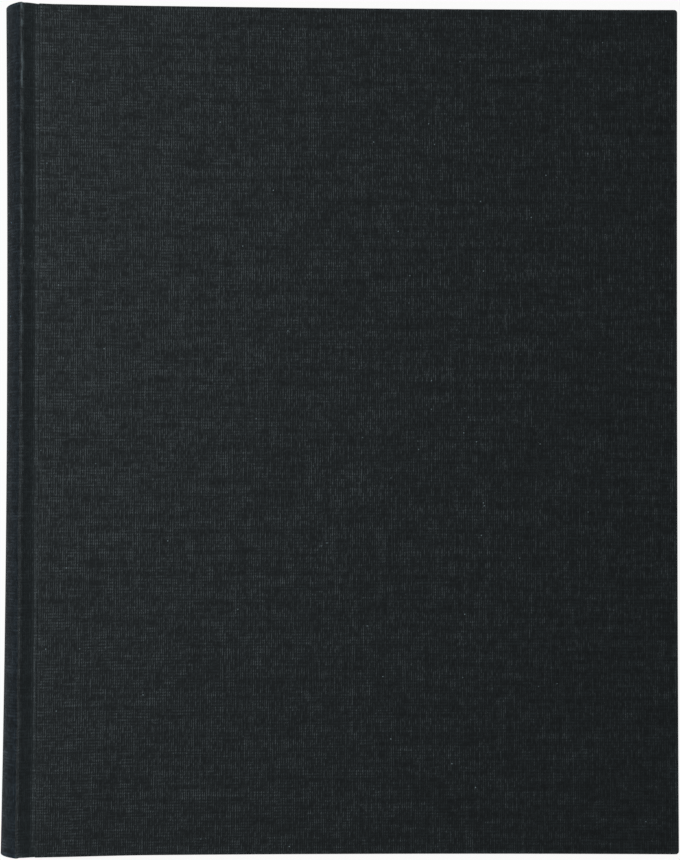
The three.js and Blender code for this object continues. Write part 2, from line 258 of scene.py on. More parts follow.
def make_solid(piece, thickness, edge_material=0):
    """Thickens a sheet towards its back, and smooths all but its sharp edges."""
    modifier = piece.modifiers.new("thickness", "SOLIDIFY")
    modifier.thickness = thickness
    modifier.offset = -1
    modifier.material_offset_rim = edge_material
    bpy.context.view_layer.objects.active = piece
    bpy.context.view_layer.update()
    flat = bpy.data.meshes.new_from_object(piece.evaluated_get(bpy.context.evaluated_depsgraph_get()))
    piece.modifiers.clear()
    piece.data = flat
    smooth(piece)


def smooth(piece, angle=38):
    """Smooths all edges that turn by less than the angle, in degrees."""
    piece.data.polygons.foreach_set("use_smooth", [True] * len(piece.data.polygons))
    piece.data.set_sharp_from_angle(angle=math.radians(angle))


def spine_point(radius, angle):
    """A point of the rounded spine. The angle is 0 at mid-thickness."""
    return Vector((SPINE_X - radius * math.cos(angle), HALF_THICKNESS - radius * math.sin(angle)))


def run_lengths(points):
    """Distances along a line of points, from its first."""
    total = [0.0]
    for a, b in zip(points, points[1:]):
        total.append(total[-1] + (Vector(b) - Vector(a)).length)
    return total


def outer_curve():
    """The cloth's outer face: the spine's arc, the roll and flank of the groove, then its wall and lip."""
    last = RIDGE_ANGLE - NICK_BACK / SPINE_RADIUS
    count = int(last / math.radians(2))
    arc = [spine_point(SPINE_RADIUS, i * last / count) for i in range(count + 1)]
    nick = spine_point(SPINE_RADIUS - NICK_DEPTH, last + 0.35 * MM / SPINE_RADIUS)
    roll = bezier([nick, nick + Vector((0.05 * MM, -0.45 * MM)), (-0.3 * MM, -0.06 * MM), (ROLL_X, 0)],
                  ROLL_STEPS)
    bed = (GROOVE_X, GROOVE_DEPTH)
    wall = (WALL_X, 0.94 * GROOVE_DEPTH)
    bend = (WALL_X + 0.15 * MM, 0.85 * GROOVE_DEPTH)
    lip = (LIP_X, 0.25 * MM)
    flank = bezier([(ROLL_X, 0), (1.3 * MM, 0), (1.8 * MM, 0.6 * GROOVE_DEPTH), bed], FLANK_STEPS)
    foot = bezier([bed, (lerp(GROOVE_X, WALL_X, 0.6), GROOVE_DEPTH), wall], WALL_STEPS)
    foot += bezier([wall, bend, (LIP_X - 0.08 * MM, 0.5 * MM), lip], LIP_STEPS)[1:]
    top = bezier([lip, (LIP_X + 0.06 * MM, 0.02 * MM), (LIP_X + 0.6 * MM, 0)], 5)
    return arc, roll + flank[1:], foot[1:] + top[1:]


SHOULDER_X = spine_point(FOLD_RADIUS, SHOULDER_ANGLE).x
ARC, JOINT, WALL = outer_curve()

# How far from mid-spine the ridge, the board's lip and the fore-edge lie on the flat cloth
JOINT_RUN = run_lengths(ARC + JOINT + WALL)
RIDGE_RUN = JOINT_RUN[len(ARC) + ROLL_STEPS - 1]
LIP_RUN = JOINT_RUN[len(ARC + JOINT) + WALL_STEPS + LIP_STEPS]
FORE_EDGE_RUN = JOINT_RUN[-1] + COVER_EDGE - WALL[-1].x


# Materials


class Finish:
    """A node material under construction. Values may be numbers, colours or other nodes' sockets."""

    def __init__(self, name, roughness, specular=0.3, sheen=0.0):
        self.material = bpy.data.materials.new(name)
        self.material.use_nodes = True
        self.tree = self.material.node_tree
        self.surface = self.tree.nodes["Principled BSDF"]
        self.surface.inputs["Roughness"].default_value = roughness
        self.surface.inputs["Specular IOR Level"].default_value = specular
        self.surface.inputs["Sheen Weight"].default_value = sheen

    def feed(self, socket, value):
        """Links or sets a socket. A colour is made opaque."""
        if isinstance(value, bpy.types.NodeSocket):
            self.tree.links.new(value, socket)
        elif hasattr(value, "__len__") and len(value) == 3 and len(socket.default_value) == 4:
            socket.default_value = (*value, 1)
        else:
            socket.default_value = value

    def math(self, operation, *values):
        node = self.tree.nodes.new("ShaderNodeMath")
        node.operation = operation
        for socket, value in zip(node.inputs, values):
            self.feed(socket, value)
        return node.outputs[0]

    def times(self, first, second):
        return self.math("MULTIPLY", first, second)

    def plus(self, base, value, amount):
        """The base with some amount of a value added to it."""
        return self.math("MULTIPLY_ADD", value, amount, base)

    def most(self, *values):
        """The largest of the values."""
        found = values[0]
        for value in values[1:]:
            found = self.math("MAXIMUM", found, value)
        return found

    def line(self, value, at, core, reach):
        """1 in the core of a line at that place, and fading to 0 at its reach."""
        away = self.math("ABSOLUTE", self.math("SUBTRACT", value, at))
        return self.range(away, core, reach, 1, 0)

    def on_sheet(self, map_name):
        """Where a point lies on the flat sheet, in millimetres."""
        node = self.tree.nodes.new("ShaderNodeUVMap")
        node.uv_map = map_name
        return self.scaled(node.outputs[0], (1 / MM, 1 / MM, 1 / MM))

    def in_space(self):
        """Where a point lies in the part's frame, in millimetres."""
        node = self.tree.nodes.new("ShaderNodeTexCoord")
        return self.scaled(node.outputs["Object"], (1 / MM, 1 / MM, 1 / MM))

    def scaled(self, place, factors, shift=(0, 0, 0)):
        node = self.tree.nodes.new("ShaderNodeMapping")
        self.feed(node.inputs["Vector"], place)
        node.inputs["Scale"].default_value = factors
        node.inputs["Location"].default_value = shift
        return node.outputs[0]

    def parts(self, place):
        """The three coordinates of a place."""
        node = self.tree.nodes.new("ShaderNodeSeparateXYZ")
        self.feed(node.inputs[0], place)
        return node.outputs

    def noise(self, place, factors, detail=2.0, shift=(0, 0, 0)):
        """Noise between about 0 and 1. The factors are grains to the millimetre along each axis."""
        node = self.tree.nodes.new("ShaderNodeTexNoise")
        self.feed(node.inputs["Vector"], self.scaled(place, factors, shift))
        node.inputs["Scale"].default_value = 1
        node.inputs["Detail"].default_value = detail
        return node.outputs["Fac"]

    def range(self, value, low, high, to_low=0.0, to_high=1.0):
        """Where a value lies between low and high, eased at both ends and put on another scale."""
        node = self.tree.nodes.new("ShaderNodeMapRange")
        node.interpolation_type = "SMOOTHSTEP"
        for name, number in zip(("Value", "From Min", "From Max", "To Min", "To Max"),
                                (value, low, high, to_low, to_high)):
            self.feed(node.inputs[name], number)
        return node.outputs[0]

    def wave(self, value, pitch):
        """A smooth ridge that repeats, from 0 between the threads to 1 on them."""
        turn = self.times(value, 2 * math.pi / pitch)
        return self.plus(0.5, self.math("SINE", turn), 0.5)

    def threads(self, side, run, wander, pitch, grains):
        """Parallel threads of uneven strength, each of which dips under its neighbours now and then."""
        side = self.plus(side, wander, 0.9)
        number = self.math("FLOOR", self.math("DIVIDE", side, pitch))
        node = self.tree.nodes.new("ShaderNodeCombineXYZ")
        self.feed(node.inputs[0], self.times(number, 3.7))
        self.feed(node.inputs[1], run)
        thread = node.outputs[0]
        on_top = self.range(self.noise(thread, (1, grains, 1)), 0.42, 0.58)
        strength = self.range(self.noise(thread, (1.7, 0.03, 1), detail=1, shift=(5, 3, 0)), 0.3, 0.7)
        turn = self.times(side, 2 * math.pi / pitch)
        back = self.math("POWER", self.plus(0.5, self.math("COSINE", turn), -0.5), 0.65)
        lift = self.plus(self.plus(0.05, on_top, 0.65), strength, 0.3)
        return self.times(back, lift)

    def mix(self, share, first, second):
        """A colour between two, or their blend by a share from 0 to 1."""
        node = self.tree.nodes.new("ShaderNodeMix")
        node.data_type = "RGBA"
        self.feed(node.inputs[0], share)
        self.feed(node.inputs[6], first)
        self.feed(node.inputs[7], second)
        return node.outputs[2]

    def shade(self, colour, brightness):
        """The colour times a brightness."""
        node = self.tree.nodes.new("ShaderNodeVectorMath")
        node.operation = "SCALE"
        self.feed(node.inputs[0], colour)
        self.feed(node.inputs["Scale"], brightness)
        return node.outputs[0]

    def colour(self, value):
        self.feed(self.surface.inputs["Base Color"], value)

    def roughness(self, value):
        self.feed(self.surface.inputs["Roughness"], value)

    def bump(self, height, distance, strength=1.0):
        node = self.tree.nodes.new("ShaderNodeBump")
        node.inputs["Strength"].default_value = strength
        node.inputs["Distance"].default_value = distance
        self.feed(node.inputs["Height"], height)
        self.tree.links.new(node.outputs[0], self.surface.inputs["Normal"])


def cloth_weave(finish, place, pitch):
    """The book cloth's threads: how high the topmost stands at each point, and their relief."""
    across, along, _ = finish.parts(place)
    wander = finish.noise(place, (0.5, 0.05, 1))
    upright = finish.threads(across, along, wander, pitch, 0.45)
    wander = finish.noise(place, (0.04, 0.4, 1))
    crossing = finish.threads(along, across, wander, CROSS_PITCH * pitch, 0.22)
    showing = finish.range(finish.noise(place, (0.16, 0.16, 1), shift=(4, 4, 0)), 0.42, 0.62, 0.4, 1)
    crossing = finish.times(crossing, showing)
    streaks = finish.noise(place, (0.4, 0.12, 1), detail=3, shift=(7, 1, 0))
    rows = finish.noise(place, (0.035, 0.42, 1), detail=3, shift=(1, 5, 0))
    slubs = finish.range(finish.plus(finish.times(streaks, 0.4), rows, 0.6), 0.36, 0.64)
    upright = finish.times(upright, finish.plus(0.85, slubs, 0.7))
    height = finish.plus(finish.most(finish.times(crossing, 1.6), upright), slubs, 0.2)
    return height, finish.plus(upright, crossing, 1.15)


def lint_specks(finish, across, along):
    """A few specks of lint, each a third of a millimetre wide and more or less pale, from 0 to 1."""
    node = finish.tree.nodes.new("ShaderNodeCombineXYZ")
    for socket, value in zip(node.inputs, (across, along)):
        finish.feed(socket, finish.math("FLOOR", finish.times(value, 3)))
    lint = finish.tree.nodes.new("ShaderNodeTexWhiteNoise")
    lint.noise_dimensions = "2D"
    finish.tree.links.new(node.outputs[0], lint.inputs["Vector"])
    return finish.range(lint.outputs["Value"], 1 - SPECK_SHARE, 1)


def wear_and_painted_highlights(finish, distance, along, place):
    """Painted highlights, partly also rubbed wear: lighter lines on the ridge, on the board's lip and along
    its edges, stronger towards the head.
    """
    ridge, lip = RIDGE_RUN / MM, LIP_RUN / MM
    lines = [finish.times(finish.line(distance, at, 0.2 * width, width), amount)
             for at, width, amount in ((ridge, 0.6, 2), (ridge + 0.2, 1.3, 0.6), (lip, 0.6, 0.4))]
    patchy = finish.range(finish.noise(place, (0.8, 0.2, 1), detail=4, shift=(11, 6, 0)), 0.4, 0.65)
    # Painted highlight: the ridge and lip lines grow stronger towards the head.
    highlight_to_head = finish.range(along, -0.2 * COVER_HALF / MM, COVER_HALF / MM, 0.25, 2.2)
    wear_and_highlight = finish.times(finish.times(finish.most(*lines), patchy), highlight_to_head)
    patchy = finish.plus(0.15, patchy, 0.6)
    # Painted highlights along the head, tail and fore-edge, where the cloth turns over the board.
    for value, edge in ((finish.math("ABSOLUTE", along), COVER_HALF), (distance, FORE_EDGE_RUN)):
        wear_and_highlight = finish.most(wear_and_highlight, finish.times(finish.line(value, edge / MM - 0.7, 0.1, 0.7), patchy))
    return wear_and_highlight


def book_cloth(case):
    """Black book cloth, aged on the spine, with painted highlights (partly rubbed wear) on ridge, lip and
    edges, painted light in the groove and painted shade on the spine.
    """
    finish = Finish("black_book_cloth", roughness=0.5, specular=case.cloth_gloss)
    finish.surface.inputs["Specular Tint"].default_value = (*case.gloss_tint, 1)
    place = finish.on_sheet("cloth_run")
    across, along, _ = finish.parts(place)
    height, relief = cloth_weave(finish, place, case.thread_pitch / MM)
    distance = finish.math("ABSOLUTE", across)
    ridge, lip = RIDGE_RUN / MM, LIP_RUN / MM
    spine = finish.range(distance, ridge - 2, ridge, 1, 0)
    joint = finish.range(distance, lip - 1, lip + 1, 1, 0)
    # Painted light: the groove between ridge and lip is made lighter, lifting its shade.
    lightening = finish.times(joint, finish.range(distance, ridge, ridge + 2))
    calm = finish.times(spine, 0.45)
    height = finish.math("MULTIPLY_ADD", finish.math("SUBTRACT", 0.5, height), calm, height)
    patches = finish.noise(place, (0.035, 0.06, 1), detail=3, shift=(2, 9, 0))
    light = finish.plus(-0.1, height, case.thread_contrast)
    light = finish.plus(light, finish.math("SUBTRACT", patches, 0.5), 0.12)
    # Painted highlights on ridge, lip and edges, partly also rubbed wear.
    light = finish.plus(light, wear_and_painted_highlights(finish, distance, along, place), 2.6)
    light = finish.plus(light, lightening, 1.2)
    # Painted shade: the spine is made a little darker.
    light = finish.plus(light, spine, -0.08)
    light = finish.plus(light, lint_specks(finish, across, along), 32)
    colour = finish.mix(spine, tuple(case.cloth_colour), tuple(case.spine_colour))
    finish.colour(finish.shade(colour, light))
    polish = finish.range(height, 0, 1.4, 0.62, 0.28)
    finish.roughness(finish.plus(polish, spine, 0.35))
    finish.bump(finish.times(relief, finish.math("SUBTRACT", 1, calm)), 0.07 * MM, 0.8)
    return finish.material


def greyboard(colour):
    """Grey board of pulped paper, with long pale fibres and dark flecks."""
    finish = Finish("greyboard", roughness=0.95, specular=0.15)
    place = finish.in_space()
    mottle = finish.noise(place, (0.7, 0.35, 0.7), detail=4)
    fibres = finish.range(finish.noise(place, (4, 0.5, 4)), 0.6, 0.75)
    flecks = finish.range(finish.noise(place, (1.6, 1.6, 1.6), detail=1, shift=(4, 4, 4)), 0.68, 0.78)
    light = finish.plus(finish.plus(finish.plus(0.75, mottle, 0.5), fibres, 0.18), flecks, -0.3)
    finish.colour(finish.shade(tuple(colour), light))
    finish.bump(finish.math("ADD", mottle, fibres), 0.05 * MM, 0.6)
    return finish.material


def paper_grain(finish, place):
    """Cloudiness and fine fibres that all the papers share."""
    cloud = finish.noise(place, (0.12, 0.12, 0.12), detail=3)
    grain = finish.noise(place, (2.5, 1.6, 2.5), detail=3, shift=(3, 1, 2))
    finish.bump(grain, 0.012 * MM, 0.5)
    return finish.plus(finish.plus(0.92, cloud, 0.07), grain, 0.05)


def endpaper(colour):
    """Heavy off-white endpaper, toned a little towards its edges."""
    finish = Finish("endpaper", roughness=0.9, specular=0.2)
    place = finish.on_sheet("leaf_run")
    across, along, _ = finish.parts(place)
    fore_edge, head = LEAF_EDGE / MM, LEAF_HALF / MM
    fore = finish.range(across, fore_edge - TONED_REACH, fore_edge)
    ends = finish.range(finish.math("ABSOLUTE", along), head - TONED_REACH, head)
    flecks = finish.range(finish.noise(place, (1.1, 0.5, 1), detail=1, shift=(9, 4, 0)), 0.7, 0.78)
    base = finish.mix(finish.times(finish.most(fore, ends), 0.35), tuple(colour), TONED_PAPER)
    base = finish.mix(finish.times(flecks, 0.22), base, PAPER_FLECK)
    finish.colour(finish.shade(base, paper_grain(finish, place)))
    return finish.material


def ruled_paper(paper):
    """Ledger paper ruled with faint writing lines, column rules and head rules."""
    finish = Finish("ruled_ledger_paper", roughness=0.85, specular=0.25)
    place = finish.on_sheet("leaf_run")
    across, along, _ = finish.parts(place)
    pitch = paper.line_pitch / MM
    head, foot = LEAF_HALF / MM - HEAD_MARGIN, FOOT_MARGIN - LEAF_HALF / MM
    wrapped = finish.math("WRAP", finish.math("SUBTRACT", along, head), pitch / 2, -pitch / 2)
    body = finish.times(finish.range(along, head, head + 0.1, 1, 0), finish.range(along, foot, foot + 0.1))
    writing = finish.times(finish.line(wrapped, 0, 0.07, 0.14), body)
    rules = [finish.line(across, at, *RULE_EDGE) for at in COLUMNS]
    rules += [finish.line(along, head + above, *RULE_EDGE) for above in HEAD_RULES]
    base = finish.mix(finish.times(writing, 0.6), tuple(paper.paper_colour), tuple(paper.line_colour))
    base = finish.mix(finish.times(finish.most(*rules), 0.65), base, tuple(paper.column_colour))
    finish.colour(finish.shade(base, paper_grain(finish, place)))
    return finish.material


def paper_edge(colour):
    """Cut edges of the leaves: a little darker and streaked from leaf to leaf."""
    finish = Finish("cut_paper_edge", roughness=0.95, specular=0.1)
    place = finish.in_space()
    leaves = finish.noise(place, (0.15, 0.1, 6))
    packs = finish.range(finish.noise(place, (0.02, 0.02, 1.7), detail=4, shift=(3, 3, 0)), 0.3, 0.6)
    lightening = finish.noise(place, (0.9, 0.9, 0.9), detail=3, shift=(6, 2, 1))
    light = finish.plus(finish.plus(finish.plus(0.55, leaves, 0.3), packs, 0.26), lightening, 0.14)
    finish.colour(finish.shade(tuple(colour), light))
    finish.bump(leaves, 0.02 * MM, 0.5)
    return finish.material


def leaf_materials(paper):
    """The ruled faces and the cut edges of the leaves."""
    return [ruled_paper(paper), paper_edge(paper.edge_colour)]


def woven(name, colour, pitch, gap):
    """Plain-woven strip or thread, darker between its threads. The pitch is in millimetres."""
    finish = Finish(name, roughness=0.92, specular=0.15, sheen=0.1)
    place = finish.in_space()
    across, along, up = finish.parts(place)
    wander = finish.noise(place, (0.3, 0.3, 0.3), detail=1)
    threads = finish.wave(finish.plus(finish.math("ADD", across, up), wander, 0.5), pitch)
    picks = finish.wave(finish.plus(along, wander, 0.6), pitch)
    weave = finish.most(threads, picks)
    fuzz = finish.noise(place, (3, 3, 3), shift=(1, 8, 3))
    light = finish.plus(finish.range(weave, 0.35, 0.9, 0.9 - gap, 0.9), fuzz, 0.2)
    finish.colour(finish.shade(tuple(colour), light))
    finish.bump(weave, 0.08 * MM, 0.8)
    return finish.material


def kraft_paper(colour):
    """Brown kraft paper with its ribbed grain and darker fibres."""
    finish = Finish("kraft_paper", roughness=0.8, specular=0.25)
    place = finish.in_space()
    _, along, _ = finish.parts(place)
    ribs = finish.wave(along, 0.9)
    fibres = finish.range(finish.noise(place, (3, 0.6, 3)), 0.55, 0.75)
    cloud = finish.noise(place, (0.2, 0.2, 0.2), detail=3, shift=(2, 2, 6))
    light = finish.plus(finish.plus(finish.plus(0.8, cloud, 0.3), ribs, 0.06), fibres, -0.2)
    finish.colour(finish.shade(tuple(colour), light))
    finish.bump(ribs, 0.02 * MM, 0.5)
    return finish.material


def band_silk(sewing):
    """Headband: wound thread in light and dark stripes."""
    finish = Finish("headband_thread", roughness=0.55, specular=0.4, sheen=0.2)
    place = finish.on_sheet("band_run")
    along, _, _ = finish.parts(place)
    stripe = finish.range(finish.wave(along, sewing.stripe_pitch / MM), 0.45, 0.55)
    strands = finish.noise(place, (5, 0.6, 1))
    base = finish.mix(stripe, tuple(sewing.band_dark), tuple(sewing.band_light))
    coils = finish.wave(along, sewing.coil_pitch / MM)
    finish.colour(finish.shade(base, finish.plus(finish.plus(0.6, strands, 0.3), coils, 0.35)))
    finish.bump(strands, 0.02 * MM, 0.6)
    return finish.material


def repaint(nodes, material):
    """Gives CAD nodes that stay a better material."""
    for name in nodes:
        node = frame["nodes"][name]
        if not node.data.materials:
            node.data.materials.append(material)
        for slot in node.material_slots:
            slot.material = material


# Case cloth


def turned_curve(outer, depth_from, depth_to):
    """The outer curve moved inwards by a depth that changes along it, with its kinks eased."""
    found = []
    last = len(outer) - 1
    for i, point in enumerate(outer):
        along = outer[min(i + 2, last)] - outer[max(i - 2, 0)]
        inward = Vector((-along.y, along.x)).normalized()
        found.append(point + inward * lerp(depth_from, depth_to, min(1, 1.6 * i / last)))
    for _ in range(12):
        found[1:-1] = [(a + b * 2 + c) / 4 for a, b, c in zip(found, found[1:], found[2:])]
    return found


def case_profile(case):
    """Outer points and turned-in points of the wrapped cloth, from mid-spine to the fore-edge."""
    spine_layer = SPINE_RADIUS - INLAY_RADIUS + INLAY_THICKNESS + TURNED_LAYER
    joint_layer = 2 * case.cloth_thickness + GLUE
    outer = ARC + JOINT + WALL
    inner = [p + Vector((SPINE_X - p.x, HALF_THICKNESS - p.y)).normalized() * spine_layer for p in ARC]
    inner += turned_curve([ARC[-1]] + JOINT, spine_layer, joint_layer)[1:]
    for i in range(1, len(WALL) + 1):
        share = i / len(WALL)
        depth = lerp(GROOVE_DEPTH + joint_layer, BOARD_DEPTH, share)
        inner.append(Vector((lerp(GROOVE_X, JOINT_WIDTH, share), depth)))
    start, last = outer[-1].x, COVER_EDGE - case.corner_round
    for i in range(1, COVER_COLUMNS + 1):
        x = lerp(start, last, i / COVER_COLUMNS)
        outer.append(Vector((x, 0)))
        inner.append(Vector((max(x, JOINT_WIDTH), BOARD_DEPTH)))
    return outer, inner


def wrap_section(depth, case):
    """How the cloth turns over an edge: pairs of distance out from the corner line and depth."""
    bend = min(case.edge_round, depth / 2)
    flat = case.corner_round - bend
    steps = [i * math.pi / 10 for i in range(6)]
    over = [(flat + bend * math.sin(a), bend * (1 - math.cos(a))) for a in steps]
    under = [(flat + bend * math.cos(a), depth - bend * (1 - math.sin(a))) for a in steps]
    return [(0.0, 0.0)] + over + under + [(0.0, depth)]


class CaseCloth:
    """Half of the case's cloth, from mid-spine to one fore-edge, wrapped round board and inlay."""

    def __init__(self, side, case):
        self.side = side
        self.case = case
        self.outer, self.inner = case_profile(case)
        self.corner_x = COVER_EDGE - case.corner_round
        self.corner_y = COVER_HALF - case.corner_round
        self.run_x = run_lengths(self.outer)
        self.turned = [i * (case.turn_in - case.corner_round) / 5 for i in range(1, 6)]
        self.sheet = SheetGrid("cloth_run")

    def sway(self, x, y, share, layer):
        """How far the cloth shifts across the book: hollow edges, rounder spine ends, a wavering joint."""
        case = self.case
        along = (y / COVER_HALF) ** 2
        rounded = min(max(-x / SPINE_RISE, 0), 1) * (1 - layer)
        shift = lerp(case.spine_bow, -case.fore_edge_bow, share) * (1 - along)
        shift -= (case.head_swell if y > 0 else case.tail_swell) * rounded * along
        if -1.2 * MM < x < LIP_X + MM:
            shift += case.joint_wave * waves(x, y, JOINT_GRAIN, 5.3)
        return shift

    def face_wave(self, x, y, depth):
        """Height of the slow waves in a board's outer face."""
        if depth >= 0.05 * MM or x <= LIP_X:
            return 0
        calm = min(1, (COVER_EDGE - x) / EDGE_CALM, (COVER_HALF - abs(y)) / EDGE_CALM, x / JOINT_CALM)
        uneven = waves(x, y, BOARD_GRAIN, 3.1 if self.side.front else 9.7)
        return self.case.unevenness * max(calm, 0) * (uneven - 0.5)

    def groove_end(self, x, y):
        """How much shallower the groove gets at head and tail."""
        groove = smoothstep(x, 0.3 * MM, 2 * MM) * (1 - smoothstep(x, GROOVE_X, LIP_X))
        return 0.3 * GROOVE_DEPTH * groove * smoothstep(abs(y), COVER_HALF - 5 * MM, COVER_HALF)

    def rise(self, x, lift, flare):
        """How far head or tail stands out at the spine, beside the joint and at the corners."""
        rise = self.case.spine_proud * (1 - 0.4 * smoothstep(x, -0.6 * MM, 0.8 * MM))
        rise = lerp(rise, lift, smoothstep(x, 2 * MM, 9 * MM))
        return lerp(rise, flare, smoothstep(x, LIP_X, 45 * MM))

    def place(self, x, y, depth, layer=0.0):
        """Places a point with the irregularities of a real case. The layer is 1 on the turned-in cloth."""
        case = self.case
        bow, lift = (case.head_bow, case.head_lift) if y > 0 else (case.tail_bow, case.tail_lift)
        share = min(max(x / COVER_EDGE, 0), 1)
        flare = case.corner_flare * share * share
        hollow = bow / COVER_HALF * (1 - (2 * share - 1) ** 2)
        shift = self.sway(x, y, share, layer)
        depth -= self.face_wave(x, y, depth) + self.groove_end(x, y)
        y += math.copysign(smoothstep(abs(y), 0, COVER_HALF), y) * self.rise(x, lift, flare)
        return self.side.place(x + shift + flare, y * (1 - hollow), depth)

    def run(self, u, v):
        """The place on the flat cloth. The back half runs the other way from mid-spine."""
        return (u if self.side.front else -u, v)

    def add(self, places, runs):
        """Adds a grid that is given in drawn places and distances on the flat cloth."""
        rows = [[self.place(*p) for p in row] for row in places]
        run = [[self.run(*r) for r in row] for row in runs]
        self.sheet.rows(rows, run, flip=not self.side.front)

    def column(self, i):
        """One line of the cloth from the tail's turn-in over the outer face to the head's turn-in."""
        out, turned = self.outer[i], self.inner[i]
        gap = (turned - out).length
        section = wrap_section(gap, self.case)
        lengths = run_lengths(section)
        edge = self.corner_y
        half = []
        for (reach, depth), length in zip(section, lengths):
            at = lerp(out, turned, depth / gap)
            half.append((at.x, edge + reach, at.y, depth / gap, edge + length))
        for inside in self.turned:
            half.append((turned.x, edge - inside, turned.y, 1.0, edge + lengths[-1] + inside))
        face = [lerp(-edge, edge, k / CLOTH_ROWS) for k in range(1, CLOTH_ROWS)]
        tail = [(x, -y, depth, layer, -run) for x, y, depth, layer, run in reversed(half)]
        return tail + [(out.x, y, out.y, 0.0, y) for y in face] + half

    def mitred(self, point):
        """Draws the turned-in cloth back to the 45 degree line of the corner."""
        x, y, depth, layer, run = point
        inside = self.corner_y - abs(y)
        start = self.corner_x - MITRE_REACH
        if depth < BOARD_DEPTH - 0.01 * MM or inside <= 0 or x <= start:
            return point
        seam = min(inside, MITRE_SEAM)
        return (start + (x - start) * (1 - (inside + seam) / MITRE_REACH), y, depth, layer, run)

    def main_face(self):
        """The cloth from mid-spine to the fore-edge, with its turn-ins at head and tail."""
        columns = [[self.mitred(p) for p in self.column(i)] for i in range(len(self.outer))]
        places = [[p[:4] for p in column] for column in columns]
        runs = [[(self.run_x[i], p[4]) for p in column] for i, column in enumerate(columns)]
        self.add(places, runs)

    def fore_edge(self):
        """The cloth over the fore-edge, with its turn-in."""
        section = wrap_section(BOARD_DEPTH, self.case)
        lengths = run_lengths(section)
        lines = [(self.corner_x + reach, depth, length, 0)
                 for (reach, depth), length in zip(section, lengths)]
        for inside in self.turned:
            lines.append((self.corner_x - inside, BOARD_DEPTH, lengths[-1] + inside, inside))
        places, runs = [], []
        for x, depth, length, inside in lines:
            reach = self.corner_y - inside - min(inside, MITRE_SEAM)
            ys = [lerp(-reach, reach, k / CLOTH_ROWS) for k in range(CLOTH_ROWS + 1)]
            places.append([(x, y, depth) for y in ys])
            runs.append([(self.run_x[-1] + length, y) for y in ys])
        self.add(places, runs)

    def corner(self, end):
        """The cloth over the corner at the head, where end is 1, or at the tail, where it is -1."""
        section = wrap_section(BOARD_DEPTH, self.case)
        lengths = run_lengths(section)
        turns = [i * math.pi / 12 for i in range(7)]
        if end < 0:
            turns = turns[::-1]
        places, runs = [], []
        for turn in turns:
            out_x, out_y = math.sin(turn), math.cos(turn) * end
            places.append([(self.corner_x + reach * out_x, self.corner_y * end + reach * out_y, depth)
                           for reach, depth in section])
            runs.append([(self.run_x[-1] + length * out_x, self.corner_y * end + length * out_y)
                         for length in lengths])
        self.add(places, runs)

    def make(self, material):
        """The finished piece of cloth."""
        self.main_face()
        self.fore_edge()
        self.corner(1)
        self.corner(-1)
        piece = self.sheet.finished(f"{self.side.name}_case_cloth", [material], weld=0.002 * MM)
        make_solid(piece, self.case.cloth_thickness)
        return piece


# Paper


def flare_depth(side, x):
    """Depth of the outermost gathering's face where it flares up to the shoulder."""
    fold = spine_point(FOLD_RADIUS - FOLD_ROUND, SHOULDER_ANGLE)
    level = side.depth(f"leaf_{side.leaves}")[1] + AIR_GAP
    share = (GUTTER - x) / (GUTTER - fold.x)
    return level + (fold.y - level) * max(share, 0) ** 2


def sheet_line(side, order, node):
    """The line of an endpaper or leaf from its root on the block to its fore-edge."""
    outer, inner = side.depth(node)
    middle = (outer + inner) / 2
    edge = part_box(f"{side.name}_{node}")[1].x - RIDGE_X
    sheets = side.leaves + 2
    root = flare_depth(side, PAPER_ROOT) - (sheets - order - 0.5) * ROOT_PITCH
    settle = GUTTER + 0.4 * MM
    line = bezier([(PAPER_ROOT, root), (lerp(PAPER_ROOT, settle, 0.5), lerp(root, middle, 0.35)),
                   (lerp(PAPER_ROOT, settle, 0.6), middle), (settle, middle)], 16)
    for start, end, steps in ((settle, NEAR_END, 8), (NEAR_END, edge, 26)):
        line += [Vector((lerp(start, end, i / steps), middle)) for i in range(1, steps + 1)]
    return line


def paper_sheet(side, order, node, materials, paper):
    """One leaf or endpaper, with its cut edges and, where it is loose, a slight cockle."""
    dice = random.Random(f"{side.name} {node}")
    line = sheet_line(side, order, node)
    trim = dice.uniform(0, 0.15) * MM
    half = LEAF_HALF - dice.uniform(0, 0.1) * MM
    height = 0 if node == "pastedown" else paper.cockle
    seed = dice.uniform(0, 50)
    places, runs = [], []
    for point in line:
        x = point.x - trim * point.x / line[-1].x
        settled = min(max((x - 20 * MM) / (60 * MM), 0), 1)
        ys = [lerp(-half, half, k / PAPER_ROWS) for k in range(PAPER_ROWS + 1)]
        depths = [point.y - SHEET_ROOM / 2 + height * settled * waves(x, y, LEAF_GRAIN, seed) for y in ys]
        places.append([side.place(x, y, depth) for y, depth in zip(ys, depths)])
        runs.append([(x, y) for y in ys])
    sheet = SheetGrid("leaf_run")
    sheet.rows(places, runs, flip=not side.front)
    piece = sheet.finished(f"{side.name}_{node}_sheet", materials)
    make_solid(piece, SHEET, edge_material=1)
    return piece


def block_level(end):
    """Height of the sewn block's lowest or highest face above the back cover's outer face."""
    if end:
        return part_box(f"front_leaf_{SIDES[0].leaves}")[0].z - AIR_GAP
    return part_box(f"back_leaf_{SIDES[1].leaves}")[1].z + AIR_GAP


